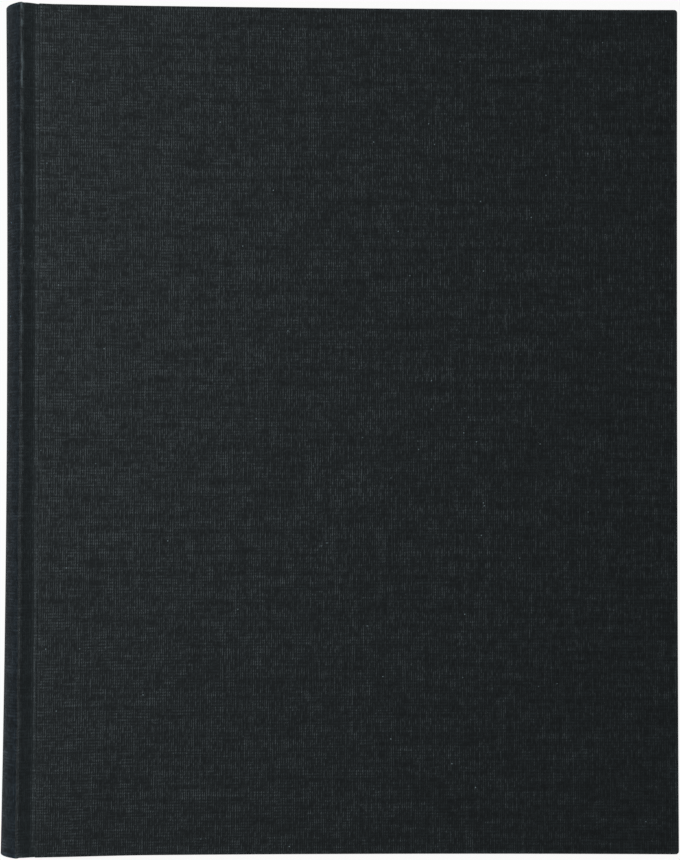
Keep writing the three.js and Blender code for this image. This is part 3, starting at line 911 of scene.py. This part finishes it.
def folded_line(index, share, tuck):
    """The line of one folded sheet: share is how far it lies into the gathering, tuck how deep its fold."""
    count = len(GATHERINGS)
    levels = [lerp(block_level(0), block_level(1), (index + k) / count) for k in (0, 1)]
    low, high = levels[0] + GATHERING_GAP, levels[1] - GATHERING_GAP
    angles = [SHOULDER_ANGLE * (2 * (index + k) / count - 1) for k in (share, 1 - share)]
    level = (lerp(low, high, share), lerp(high, low, share))
    radius = FOLD_RADIUS - tuck
    ease = FOLD_ROUND * (1 - share)

    def leaf(side):
        """The lower or upper leaf, from its fore-edge to the fold."""
        fold = spine_point(radius - ease, -angles[side])
        edge = spine_point(FOLD_RADIUS, -angles[side]).x + LEAF_EDGE - SHOULDER_X
        line = [Vector((lerp(edge, 30 * MM, i / 3), level[side])) for i in range(4)]
        for i in range(11):
            x = lerp(GUTTER - 0.06 * MM, fold.x, i / 10)
            line.append(Vector((x, lerp(level[side], fold.y, (i / 10) ** 2))))
        return line

    nose = []
    for i in range(1, 6):
        bulge = ease * (1 - math.sin(math.pi * i / 6))
        nose.append(spine_point(radius - bulge, -lerp(angles[0], angles[1], i / 6)))
    return leaf(0) + nose + leaf(1)[::-1]


def gathering_sheets(node, paper, materials):
    """A sewn gathering: folded sheets nested one inside the other, each trimmed a hair differently."""
    index = len(GATHERINGS) - int(node[-2:])
    dice = random.Random(node)
    sheet = SheetGrid("leaf_run")
    count = paper.sheets_per_gathering
    for number in range(count):
        line = folded_line(index, (number + 0.5) / (2 * count), (number + 0.5) * FOLD_STEP)
        half = LEAF_HALF - dice.uniform(0, 0.12) * MM
        shift = dice.uniform(-0.04, 0.04) * MM
        trim = [dice.uniform(0, 0.14) * MM for _ in (0, 1)]
        places, runs = [], []
        for i, point in enumerate(line):
            x = point.x - (trim[0] if i == 0 else trim[1] if i == len(line) - 1 else 0)
            places.append([Vector((RIDGE_X + x, end * half + shift, point.y)) for end in (-1, 1)])
            runs.append([(x, end * half) for end in (-1, 1)])
        sheet.rows(places, runs)
    piece = sheet.finished(f"{node}_sheets", materials)
    make_solid(piece, FOLDED_SHEET, edge_material=1)
    return piece


# Bands


def wound_bead(sheet, end, sewing):
    """The bead of a headband: thread wound over a core along the spine's curve."""
    coil = sewing.coil_pitch
    line_radius = FOLD_RADIUS - FOLD_ROUND
    length = 2 * BAND_ANGLE * line_radius
    steps = int(length / coil * COIL_STEPS)
    y = end * (LEAF_HALF + AIR_GAP + BAND_RADIUS)
    turns = [2 * math.pi * k / BAND_SIDES for k in range(BAND_SIDES + 1)]
    places, runs = [], []
    for i in range(steps + 1):
        along = length * i / steps
        swell = 1 - 0.08 * (0.5 + 0.5 * math.cos(2 * math.pi * along / coil))
        close = min(1, min(i, steps - i) / 4)
        radius = BAND_RADIUS * swell * math.sqrt(1 - (1 - close) ** 2) + 0.02 * MM
        row = []
        for turn in turns:
            at = spine_point(line_radius + radius * math.cos(turn), BAND_ANGLE - along / line_radius)
            row.append(Vector((RIDGE_X + at.x, y + radius * math.sin(turn), at.y)))
        places.append(row)
        runs.append([(along, radius * turn) for turn in turns])
    sheet.rows(places, runs)


def band_tab(sheet, end, sewing):
    """The woven tab of a headband, glued to the back of the folds."""
    edge = end * (LEAF_HALF + TAB_PROUD)
    foot = end * (LEAF_HALF - sewing.band_tab)
    for radius, inside in ((TAPE_RADIUS, False), (TAPE_RADIUS - TAB_THICKNESS, True)):
        places, runs = [], []
        for i in range(41):
            angle = lerp(-TAB_ANGLE, TAB_ANGLE, i / 40)
            at = spine_point(radius, -angle)
            places.append([Vector((RIDGE_X + at.x, lerp(edge, foot, k / 8), at.y)) for k in range(9)])
            runs.append([(angle * radius + TAB_RUN, k * MM) for k in range(9)])
        sheet.rows(places, runs, flip=inside)


# Stage


def floor_profile(reach):
    """Pairs of distance and height, from under the book out to the top of the wall."""
    profile = [(0.01, 0), (0.6, 0), (reach - FLOOR_BEND, 0)]
    for i in range(1, 9):
        turn = i * math.pi / 16
        out, up = FLOOR_BEND * math.sin(turn), FLOOR_BEND * (1 - math.cos(turn))
        profile.append((reach - FLOOR_BEND + out, up))
    return profile + [(reach, WALL_HEIGHT)]


def floor_paint(stage):
    """White paper that looks pure white to camera and gloss, and still takes the book's shadow."""
    finish = Finish("white_floor", roughness=0.9, specular=0.1)
    finish.colour(tuple(stage.floor_colour))
    tree = finish.tree
    rays = tree.nodes.new("ShaderNodeLightPath").outputs
    seen = finish.most(*[rays[f"Is {kind} Ray"] for kind in ("Camera", "Glossy", "Transmission")])
    glow = tree.nodes.new("ShaderNodeEmission")
    mixer = tree.nodes.new("ShaderNodeMixShader")
    finish.feed(mixer.inputs[0], finish.times(seen, stage.floor_glow))
    finish.feed(mixer.inputs[1], finish.surface.outputs[0])
    finish.feed(mixer.inputs[2], glow.outputs[0])
    finish.feed(tree.nodes["Material Output"].inputs["Surface"], mixer.outputs[0])
    return finish.material


def make_floor(stage):
    """A round floor that rises to a wall all round."""
    turns = [2 * math.pi * k / FLOOR_SIDES for k in range(FLOOR_SIDES)]
    sheet = bmesh.new()
    rings = [[sheet.verts.new((reach * math.cos(turn), reach * math.sin(turn), height - FLOOR_GAP))
              for turn in turns] for reach, height in floor_profile(stage.floor_reach)]
    sheet.faces.new(rings[0])
    for low, high in zip(rings, rings[1:]):
        for k in range(FLOOR_SIDES):
            sheet.faces.new([low[k - 1], high[k - 1], high[k], low[k]])
    data = bpy.data.meshes.new("floor")
    sheet.to_mesh(data)
    sheet.free()
    data.materials.append(floor_paint(stage))
    floor = bpy.data.objects.new("floor", data)
    bpy.context.scene.collection.objects.link(floor)


def make_lights(scene, stage):
    """Even light from all round, and a softbox above the spine side."""
    world = bpy.data.worlds.new("studio")
    world.use_nodes = True
    sky = world.node_tree.nodes["Background"]
    sky.inputs["Color"].default_value = (1, 1, 1, 1)
    sky.inputs["Strength"].default_value = stage.sky
    scene.world = world
    softbox = bpy.data.lights.new("softbox", "AREA")
    softbox.shape = "RECTANGLE"
    softbox.size, softbox.size_y = SOFTBOX_SIZE
    softbox.energy = stage.key
    lamp = bpy.data.objects.new("softbox", softbox)
    lamp.location = SOFTBOX_PLACE
    lamp.rotation_euler = (SOFTBOX_AIM - SOFTBOX_PLACE).to_track_quat("-Z", "Y").to_euler()
    scene.collection.objects.link(lamp)


def make_camera(scene, stage):
    """The photograph's camera."""
    data = bpy.data.cameras.new("camera")
    data.lens = stage.camera_lens
    data.sensor_width = SENSOR_WIDTH
    camera = bpy.data.objects.new("camera", data)
    camera.location = stage.camera_place
    camera.rotation_euler = stage.camera_turn
    scene.collection.objects.link(camera)
    scene.camera = camera


# Settings


def length(title, text, default, low, high):
    """A length that can be set, with its default, least and greatest value in metres."""
    return FloatProperty(name=title, description=text, default=default, min=low, max=high,
                         unit="LENGTH", precision=5)


def tint(title, text, default):
    """A colour that can be set."""
    return FloatVectorProperty(name=title, description=text, default=default, size=3,
                               min=0, max=1, subtype="COLOR")


class LedgerCase(bpy.types.PropertyGroup):
    """Sizes and colours of the case cloth."""

    cloth_thickness: length("Cloth thickness", "Thickness of the book cloth", 0.5 * MM, 0.2 * MM, MM)
    turn_in: length("Turn-in", "How far the cloth is turned in over the boards",
                    15 * MM, 8 * MM, 25 * MM)
    edge_round: length("Edge rounding", "Bend radius of the cloth over the boards' edges",
                       0.6 * MM, 0.2 * MM, 1.5 * MM)
    corner_round: length("Corner rounding", "Radius of the covers' corners seen from above",
                         1.1 * MM, 0.6 * MM, 4 * MM)
    head_bow: length("Head bow", "How hollow the head edge is", 0.4 * MM, 0, 0.45 * MM)
    tail_bow: length("Tail bow", "How hollow the tail edge is", 0.42 * MM, 0, 0.45 * MM)
    head_lift: length("Head lift", "How far the board stands proud beside the joint at the head",
                      0.1 * MM, 0, MM)
    tail_lift: length("Tail lift", "How far the board stands proud beside the joint at the tail",
                      0.4 * MM, 0, MM)
    fore_edge_bow: length("Fore-edge bow", "How hollow the fore-edges are", 0.3 * MM, 0, MM)
    spine_bow: length("Spine bow", "How hollow the spine is along its length", 0.52 * MM, 0, MM)
    head_swell: length("Head swell", "How much rounder the spine is at the head", 0.4 * MM, 0, 1.5 * MM)
    tail_swell: length("Tail swell", "How much rounder the spine is at the tail", 0.8 * MM, 0, 1.5 * MM)
    spine_proud: length("Spine ends", "How far spine and joint stand proud of the boards at head and tail",
                        0.8 * MM, 0, 2 * MM)
    corner_flare: length("Corner flare", "How far the fore-edge corners stand out", 0.3 * MM, 0, MM)
    joint_wave: length("Joint wave", "How far ridge and groove waver along their length",
                       0.22 * MM, 0, 0.6 * MM)
    unevenness: length("Board unevenness", "Height of the slow waves in the boards' faces",
                       0.16 * MM, 0, 0.4 * MM)
    thread_pitch: length("Thread pitch", "Distance between the cloth's upright threads",
                         0.74 * MM, 0.3 * MM, 2 * MM)
    thread_contrast: FloatProperty(
        name="Thread contrast", description="How much lighter the raised threads are",
        default=1.8, min=0, max=4)
    cloth_gloss: FloatProperty(
        name="Cloth gloss", description="Strength of the threads' shine",
        default=0.24, min=0, max=1, subtype="FACTOR")
    gloss_tint: tint("Gloss tint", "Tint of the threads' shine", (0.73, 0.85, 0.9))
    cloth_colour: tint("Cloth colour", "Colour of the book cloth", (0.004, 0.0053, 0.0058))
    spine_colour: tint("Spine colour", "Colour of the book cloth where it has aged on the spine",
                       (0.004, 0.008, 0.012))


class LedgerPaper(bpy.types.PropertyGroup):
    """Colours of the papers, and the ruling and waves of the leaves."""

    paper_colour: tint("Ledger paper", "Colour of the ruled leaves", (0.82, 0.8, 0.7))
    endpaper_colour: tint("Endpaper", "Colour of pastedowns and flyleaves", (0.79, 0.75, 0.63))
    edge_colour: tint("Cut edges", "Colour of the leaves' cut edges", (0.82, 0.78, 0.67))
    line_colour: tint("Writing lines", "Colour of the faint writing lines", (0.25, 0.42, 0.52))
    column_colour: tint("Column rules", "Colour of the column rules and head rules", (0.55, 0.13, 0.12))
    line_pitch: length("Line pitch", "Distance between writing lines", 7.1 * MM, 4 * MM, 12 * MM)
    cockle: length("Cockle", "Height of the slow waves in a loose leaf", 0.035 * MM, 0, 0.045 * MM)
    sheets_per_gathering: IntProperty(
        name="Sheets", description="Folded sheets in one gathering", default=8, min=2, max=9)


class LedgerSewing(bpy.types.PropertyGroup):
    """Colours of the boards, the sewing and the linings, and colours and sizes of the bands."""

    linen_colour: tint("Linen", "Colour of tapes and thread", (0.74, 0.68, 0.54))
    muslin_colour: tint("Muslin", "Colour of the mull", (0.7, 0.64, 0.5))
    kraft_colour: tint("Kraft paper", "Colour of the spine lining", (0.42, 0.26, 0.12))
    board_colour: tint("Greyboard", "Colour of the boards", (0.3, 0.275, 0.23))
    band_light: tint("Band, light", "Light stripes of the headbands", (0.74, 0.72, 0.64))
    band_dark: tint("Band, dark", "Dark stripes of the headbands", (0.035, 0.042, 0.05))
    coil_pitch: length("Coil pitch", "Distance between the threads wound on a band",
                       0.4 * MM, 0.2 * MM, MM)
    stripe_pitch: length("Stripe pitch", "Length of a light and a dark stripe together",
                         3.2 * MM, MM, 8 * MM)
    band_tab: length("Band tab", "How far a band's tab reaches over the folds", 8 * MM, 4 * MM, 9 * MM)


class LedgerStage(bpy.types.PropertyGroup):
    """Floor, lights and camera."""

    floor_colour: tint("Floor", "Colour of the floor", (0.85, 0.85, 0.85))
    floor_glow: FloatProperty(
        name="Floor glow", description="Share of the floor that shows as pure white to the camera",
        default=0.9, min=0, max=1, subtype="FACTOR")
    floor_reach: FloatProperty(
        name="Floor reach", description="Distance from the book to the wall round the floor",
        default=3, min=1, max=10, unit="LENGTH")
    sky: FloatProperty(
        name="Sky light", description="Strength of the even light from all round",
        default=0.39, min=0, max=2)
    key: FloatProperty(
        name="Key light", description="Power of the softbox at the spine side",
        default=6.25, min=0, max=50, subtype="POWER", unit="POWER")
    camera_place: FloatVectorProperty(
        name="Camera place", description="Where the camera stands",
        default=(-45.03 * MM, -27.23 * MM, 927.47 * MM), size=3, subtype="TRANSLATION", unit="LENGTH")
    camera_turn: FloatVectorProperty(
        name="Camera turn", description="How the camera is turned",
        default=(math.radians(1.706), math.radians(-2.824), math.radians(0.095)), size=3, subtype="EULER")
    camera_lens: FloatProperty(
        name="Lens", description="Focal length on a 36 mm sensor",
        default=111.85, min=20, max=300, unit="CAMERA")


# Operators


class LEDGER_OT_case_cloth(bpy.types.Operator):
    """Wrap boards and spine in book cloth, turned in on the inside"""

    bl_idname = "ledger.case_cloth"
    bl_label = "Case cloth"

    def execute(self, context):
        case = context.scene.ledger_case
        material = book_cloth(case)
        for side in SIDES:
            piece = CaseCloth(side, case).make(material)
            start, end = side.place(HINGE_START, 0, 0), side.place(HINGE_END, 0, 0)
            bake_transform(piece)
            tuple(start)
            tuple(end)
            nodes = [f"{side.name}_cover_cloth"] + (["spine_cloth"] if side.front else [])
            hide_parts(*nodes)
        return {"FINISHED"}


class LEDGER_OT_boards(bpy.types.Operator):
    """Finish boards, infill cards and spine inlay as greyboard"""

    bl_idname = "ledger.boards"
    bl_label = "Boards and inlay"

    def execute(self, context):
        material = greyboard(context.scene.ledger_sewing.board_colour)
        nodes = ["spine_inlay"]
        for side in SIDES:
            nodes += [f"{side.name}_board", f"{side.name}_board_infill"]
        repaint(nodes, material)
        return {"FINISHED"}


class LEDGER_OT_endpapers(bpy.types.Operator):
    """Make the pastedowns and flyleaves, rooted on the block"""

    bl_idname = "ledger.endpapers"
    bl_label = "Endpapers"

    def execute(self, context):
        paper = context.scene.ledger_paper
        materials = [endpaper(paper.endpaper_colour), paper_edge(paper.edge_colour)]
        for side in SIDES:
            start, end = side.place(PAPER_ROOT, 0, 0), side.place(LEAF_SETTLED, 0, 0)
            for order, node, body in ((0, "pastedown", "cover"), (1, "flyleaf", "flyleaf")):
                piece = paper_sheet(side, order, node, materials, paper)
                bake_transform(piece)
                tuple(start)
                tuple(end)
                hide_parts(f"{side.name}_{node}")
        return {"FINISHED"}


class LEDGER_OT_leaves(bpy.types.Operator):
    """Make the loose ruled leaves at the front and back"""

    bl_idname = "ledger.leaves"
    bl_label = "Loose leaves"

    def execute(self, context):
        paper = context.scene.ledger_paper
        materials = leaf_materials(paper)
        for side in SIDES:
            start, end = side.place(PAPER_ROOT, 0, 0), side.place(LEAF_SETTLED, 0, 0)
            for number in range(1, side.leaves + 1):
                node = f"leaf_{number}"
                leaf = paper_sheet(side, number + 1, node, materials, paper)
                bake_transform(leaf)
                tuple(start)
                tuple(end)
                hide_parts(f"{side.name}_{node}")
        return {"FINISHED"}


class LEDGER_OT_gatherings(bpy.types.Operator):
    """Make the sewn gatherings, sheet by sheet"""

    bl_idname = "ledger.gatherings"
    bl_label = "Gatherings"

    def execute(self, context):
        paper = context.scene.ledger_paper
        materials = leaf_materials(paper)
        for node in GATHERINGS:
            piece = gathering_sheets(node, paper, materials)
            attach(piece, "book_block")
            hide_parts(node)
        return {"FINISHED"}


class LEDGER_OT_sewing(bpy.types.Operator):
    """Finish tapes and threads as linen"""

    bl_idname = "ledger.sewing"
    bl_label = "Tapes and threads"

    def execute(self, context):
        sewing = context.scene.ledger_sewing
        tapes = [node for node in frame["nodes"] if "tape" in node and "stitches" not in node]
        threads = [node for node in frame["nodes"] if "stitches" in node]
        repaint(tapes, woven("linen_tape", sewing.linen_colour, pitch=0.6, gap=0.35))
        repaint(threads, woven("waxed_thread", sewing.linen_colour, pitch=0.25, gap=0.3))
        return {"FINISHED"}


class LEDGER_OT_linings(bpy.types.Operator):
    """Finish mull and kraft lining"""

    bl_idname = "ledger.linings"
    bl_label = "Mull and lining"

    def execute(self, context):
        sewing = context.scene.ledger_sewing
        mull = [node for node in frame["nodes"] if "mull" in node]
        repaint(mull, woven("open_muslin", sewing.muslin_colour, pitch=0.9, gap=0.55))
        repaint(["spine_lining"], kraft_paper(sewing.kraft_colour))
        return {"FINISHED"}


class LEDGER_OT_bands(bpy.types.Operator):
    """Make the wound headband and tailband"""

    bl_idname = "ledger.bands"
    bl_label = "Headbands"

    def execute(self, context):
        sewing = context.scene.ledger_sewing
        material = band_silk(sewing)
        for node, end in (("headband", 1), ("tailband", -1)):
            sheet = SheetGrid("band_run")
            wound_bead(sheet, end, sewing)
            band_tab(sheet, end, sewing)
            piece = sheet.finished(f"{node}_wound", [material])
            smooth(piece, 60)
            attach(piece, "book_block")
            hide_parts(node)
        return {"FINISHED"}


class LEDGER_OT_stage(bpy.types.Operator):
    """Set up the floor, the lights and the camera"""

    bl_idname = "ledger.stage"
    bl_label = "Stage"

    def execute(self, context):
        stage = context.scene.ledger_stage
        make_floor(stage)
        make_lights(context.scene, stage)
        make_camera(context.scene, stage)
        context.scene.view_settings.view_transform = "Standard"
        return {"FINISHED"}


class LEDGER_PT_panel(bpy.types.Panel):
    """The ledger's pieces, in the order in which they are made"""

    bl_idname = "LEDGER_PT_panel"
    bl_label = "Ledger book"
    bl_space_type = "VIEW_3D"
    bl_region_type = "UI"
    bl_category = "Ledger"

    def draw(self, context):
        for operator in OPERATORS:
            self.layout.operator(operator.bl_idname)


SETTINGS = {"ledger_case": LedgerCase, "ledger_paper": LedgerPaper, "ledger_sewing": LedgerSewing,
            "ledger_stage": LedgerStage}
OPERATORS = (LEDGER_OT_case_cloth, LEDGER_OT_boards, LEDGER_OT_endpapers, LEDGER_OT_leaves,
             LEDGER_OT_gatherings, LEDGER_OT_sewing, LEDGER_OT_linings, LEDGER_OT_bands, LEDGER_OT_stage)
CLASSES = (*SETTINGS.values(), *OPERATORS, LEDGER_PT_panel)


def register():
    for made in CLASSES:
        bpy.utils.register_class(made)
    for name, group in SETTINGS.items():
        setattr(bpy.types.Scene, name, PointerProperty(type=group))


def unregister():
    for name in SETTINGS:
        delattr(bpy.types.Scene, name)
    for made in reversed(CLASSES):
        bpy.utils.unregister_class(made)


def main():
    register()
    bpy.ops.ledger.case_cloth()
    bpy.ops.ledger.boards()
    bpy.ops.ledger.endpapers()
    bpy.ops.ledger.leaves()
    bpy.ops.ledger.gatherings()
    bpy.ops.ledger.sewing()
    bpy.ops.ledger.linings()
    bpy.ops.ledger.bands()
    bpy.ops.ledger.stage()


if __name__ == "__main__":
    main()
